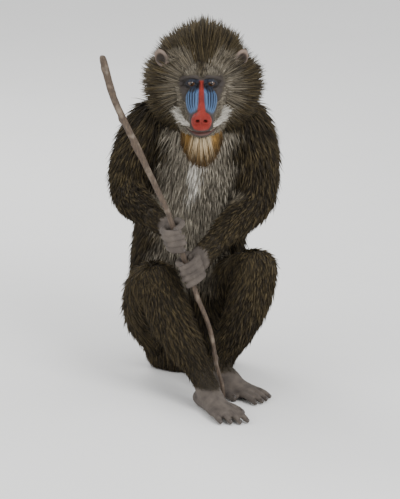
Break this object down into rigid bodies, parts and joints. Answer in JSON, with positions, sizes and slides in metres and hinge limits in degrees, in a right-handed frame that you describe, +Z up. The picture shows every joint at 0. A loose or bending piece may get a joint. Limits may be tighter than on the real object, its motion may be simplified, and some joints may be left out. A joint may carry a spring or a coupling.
{
  "type": "seated mandrill figure",
  "caption": "Life-size male mandrill sitting with knees drawn up, a ribbed muzzle, thick ruff and pointed beard, both hands closed round an upright stick",
  "frame": {"origin": "on the floor, under the middle of the whole model's bounding box", "axes": "+Z up; the animal faces -Y; +X is its own left side"},
  "size_m": [0.405, 0.6422, 0.8456],
  "materials": {
    "face": "bare ribbed skin, satin",
    "eye": "glossy",
    "bare_skin": "bare skin, matt",
    "pale_coat": "short dense hair",
    "beard": "long hair",
    "coat": "dense hair",
    "bark": "rubbed bark"
  },
  "bodies": {
    "root": {"head": "face", "eye_left": "eye", "eye_right": "eye", "ear_left": "bare_skin", "ear_right": "bare_skin", "hand_left": "bare_skin", "hand_right": "bare_skin", "foot_left": "bare_skin", "foot_right": "bare_skin", "chest": "pale_coat", "beard": "beard", "crown": "coat", "ruff_left": "coat", "ruff_right": "coat", "mantle": "coat", "neck": "coat", "back": "coat", "rump": "coat", "tail": "coat", "upper_arm_left": "coat", "upper_arm_right": "coat", "forearm_left": "coat", "forearm_right": "coat", "thigh_left": "coat", "thigh_right": "coat", "shin_left": "coat", "shin_right": "coat", "stick": "bark"}
  },
  "joints": []
}
